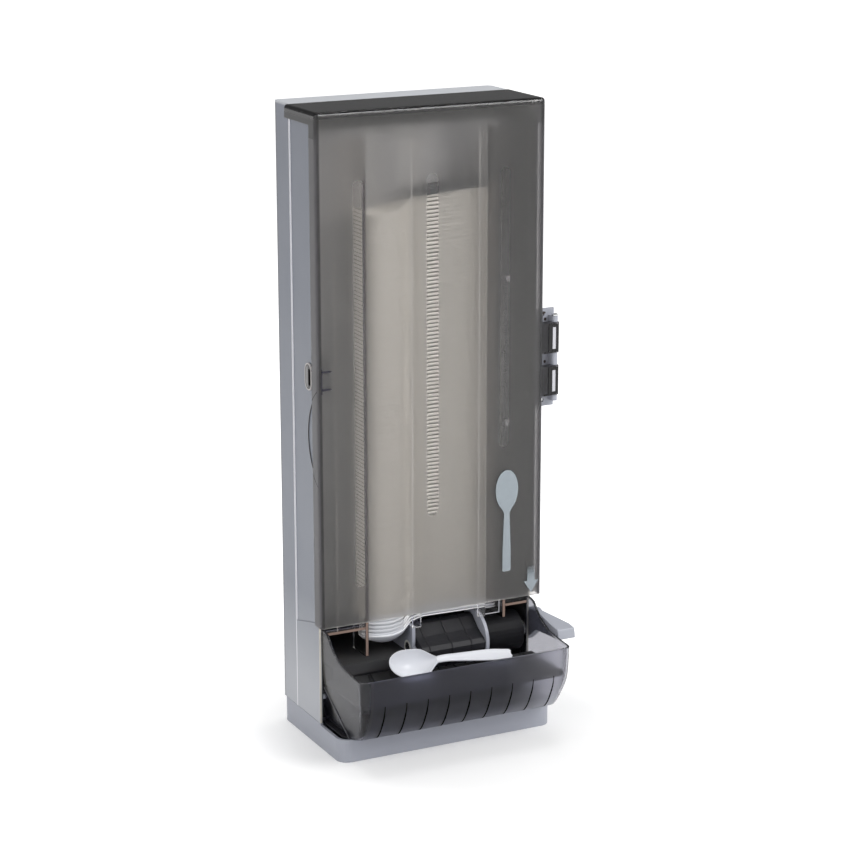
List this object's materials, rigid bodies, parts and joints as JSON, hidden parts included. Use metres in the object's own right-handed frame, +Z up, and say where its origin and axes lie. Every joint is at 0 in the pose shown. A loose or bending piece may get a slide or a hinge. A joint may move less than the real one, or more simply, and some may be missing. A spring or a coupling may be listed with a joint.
{
  "type": "cutlery dispenser",
  "caption": "Tall counter-top cutlery dispenser with a smoked hinged cover, a stacked spoon magazine, a side lever and rotor, and a catch tray on a grey base.",
  "frame": {"origin": "centre of the base's footprint, on the surface that it stands on", "axes": "+Z up, -Y towards the front cover and tray, +X towards the lever and hinge"},
  "size_m": [0.2625, 0.1835, 0.6287],
  "materials": {
    "grey_plastic": "light blue-grey moulded plastic, fine satin texture",
    "smoked_plastic": "smoked see-through plastic, frosted on its inner face except in clear window strips",
    "tray_plastic": "dark smoked plastic, satin outside",
    "dark_plastic": "near-black moulded plastic, satin",
    "clear_plastic": "clear plastic with a faint brown smoke tint at its edges",
    "bush_plastic": "natural low-friction plastic",
    "spoon_plastic": "white moulded polystyrene with a soft gloss",
    "steel": "plain bright steel",
    "pad_rubber": "black anti-slip rubber"
  },
  "bodies": {
    "cabinet": {"base_pan": "grey_plastic", "base_screw_front_left": "steel", "base_screw_front_right": "steel", "base_screw_rear_left": "steel", "base_screw_rear_right": "steel", "foot_pad_front_left": "pad_rubber", "foot_pad_front_right": "pad_rubber", "foot_pad_rear_left": "pad_rubber", "foot_pad_rear_right": "pad_rubber", "housing": "grey_plastic", "chassis_plate": "grey_plastic", "chassis_screw_lower_left": "steel", "chassis_screw_lower_right": "steel", "chassis_screw_upper_left": "steel", "chassis_screw_upper_right": "steel", "magazine_guide_left": "clear_plastic", "magazine_guide_right": "clear_plastic", "magazine_screw_lower": "steel", "magazine_screw_upper": "steel", "hinge_bracket": "grey_plastic", "hinge_pin": "steel", "hinge_screw_lower": "steel", "hinge_screw_upper": "steel", "lock_bezel": "grey_plastic", "lock_body": "dark_plastic", "neck_partition": "grey_plastic", "bush_left": "bush_plastic", "bush_right": "bush_plastic", "return_spring": "steel", "deck": "dark_plastic", "tray_pin_left": "grey_plastic", "tray_pin_right": "grey_plastic", "spoon_bundle_first": "spoon_plastic", "spoon_bundle_second": "spoon_plastic", "spoon_bundle_third": "spoon_plastic", "spoon_bundle_top": "spoon_plastic"},
    "door": {"front_cover": "smoked_plastic", "catch_bracket": "dark_plastic", "retainer_left": "clear_plastic", "retainer_right": "clear_plastic"},
    "rotor": {"rotor_shaft": "steel", "rotor_drum": "dark_plastic", "rotor_flange": "grey_plastic", "drive_drum": "dark_plastic", "lever": "grey_plastic", "lever_screw": "steel"},
    "latch": {"latch_tongue": "bush_plastic"},
    "tray": {"tray": "tray_plastic", "tray_floor": "dark_plastic"},
    "weight": {"stack_weight": "dark_plastic"},
    "spoon": {"loose_spoon": "spoon_plastic"}
  },
  "joints": [
    {"name": "door_hinge", "type": "hinge", "parent": "cabinet", "child": "door", "pos_m": [0.1365, -0.03225, 0.37], "axis": [0, 0, 1], "range_deg": [0, 110]},
    {"name": "lever_press", "type": "hinge", "parent": "cabinet", "child": "rotor", "pos_m": [0.05, -0.01425, 0.086], "axis": [1, 0, 0], "range_deg": [0, 35], "stiffness_Nm_per_rad": 0.15, "springref_deg": -20.05},
    {"name": "latch_push", "type": "slide", "parent": "cabinet", "child": "latch", "axis": [1, 0, 0], "range_m": [0, 0.004], "stiffness_N_per_m": 200, "springref_m": -0.002},
    {"name": "tray_slide", "type": "slide", "parent": "cabinet", "child": "tray", "axis": [0, -1, 0], "range_m": [0, 0.1]},
    {"name": "weight_lift", "type": "slide", "parent": "cabinet", "child": "weight", "axis": [0, 0, 1], "range_m": [0, 0.06]},
    {"name": "spoon_lift", "type": "slide", "parent": "tray", "child": "spoon", "axis": [0, -0.6, 0.8], "range_m": [0, 0.05]}
  ]
}
